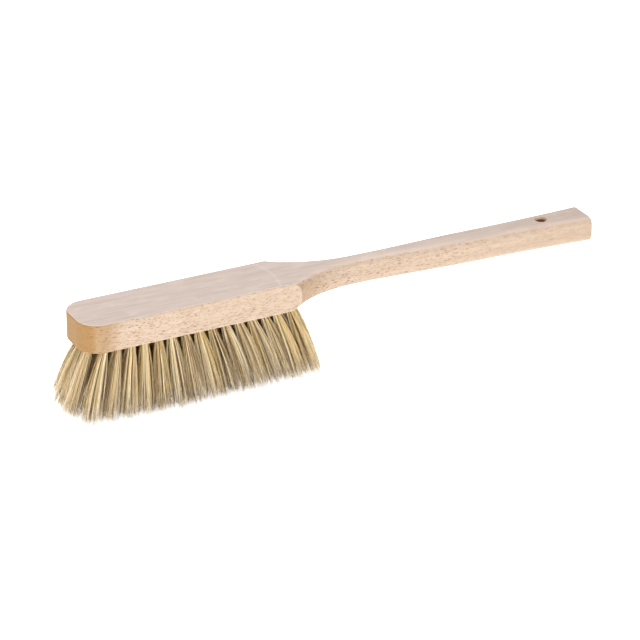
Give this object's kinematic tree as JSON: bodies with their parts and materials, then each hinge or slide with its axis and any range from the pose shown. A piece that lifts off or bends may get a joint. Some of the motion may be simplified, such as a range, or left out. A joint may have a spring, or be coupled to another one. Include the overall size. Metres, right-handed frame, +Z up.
{
  "type": "bee brush",
  "caption": "Long-handled wooden hand brush: rounded block, oval handle with a hang hole, and rows of fanned natural bristle tufts set in drilled holes.",
  "frame": {"origin": "centre of the whole brush's footprint, on the plane of the lowest bristle tips", "axes": "+X along the brush towards the handle's end, +Y across it, +Z up from the bristle tips to the block's flat top"},
  "size_m": [0.4616, 0.0618, 0.0804],
  "materials": {
    "wood": "raw sanded beech, no varnish",
    "bristle": "natural straw-coloured bristle, satin",
    "staple_wire": "drawn steel wire"
  },
  "bodies": {
    "root": {"inner_tuft_pair_01": "bristle", "inner_tuft_pair_02": "bristle", "inner_tuft_pair_03": "bristle", "inner_tuft_pair_04": "bristle", "inner_tuft_pair_05": "bristle", "inner_tuft_pair_06": "bristle", "inner_tuft_pair_07": "bristle", "inner_tuft_pair_08": "bristle", "inner_tuft_pair_09": "bristle", "inner_tuft_pair_10": "bristle", "inner_tuft_pair_11": "bristle", "inner_tuft_pair_12": "bristle", "inner_tuft_pair_13": "bristle", "inner_tuft_pair_14": "bristle", "inner_tuft_pair_15": "bristle", "inner_tuft_pair_16": "bristle", "left_inner_staples": "staple_wire", "left_outer_staples": "staple_wire", "outer_tuft_pair_01": "bristle", "outer_tuft_pair_02": "bristle", "outer_tuft_pair_03": "bristle", "outer_tuft_pair_04": "bristle", "outer_tuft_pair_05": "bristle", "outer_tuft_pair_06": "bristle", "outer_tuft_pair_07": "bristle", "outer_tuft_pair_08": "bristle", "outer_tuft_pair_09": "bristle", "outer_tuft_pair_10": "bristle", "outer_tuft_pair_11": "bristle", "outer_tuft_pair_12": "bristle", "outer_tuft_pair_13": "bristle", "outer_tuft_pair_14": "bristle", "outer_tuft_pair_15": "bristle", "right_inner_staples": "staple_wire", "right_outer_staples": "staple_wire", "wooden_back": "wood"}
  },
  "joints": []
}
